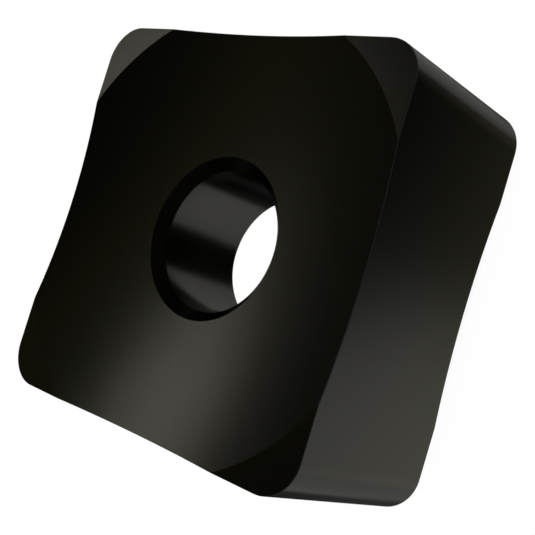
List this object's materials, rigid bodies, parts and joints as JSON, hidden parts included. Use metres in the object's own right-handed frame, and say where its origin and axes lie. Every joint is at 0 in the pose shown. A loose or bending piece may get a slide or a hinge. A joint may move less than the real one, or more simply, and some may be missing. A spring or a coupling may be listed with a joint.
{
  "type": "carbide insert",
  "caption": "Thick square double-sided cutting insert with rounded corners, hollowed faces with flat corner lands, and a countersunk screw hole through the middle.",
  "frame": {"origin": "middle of the insert's seat, level with the four lower corner lands", "axes": "+Z along the screw hole, from the lower face to the upper; X and Y square to the upright sides"},
  "size_m": [0.0126, 0.0126, 0.0061],
  "materials": {
    "coated_carbide": "near-black semi-gloss ceramic coat on sintered carbide, very finely grained"
  },
  "bodies": {
    "root": {"insert": "coated_carbide"}
  },
  "joints": []
}
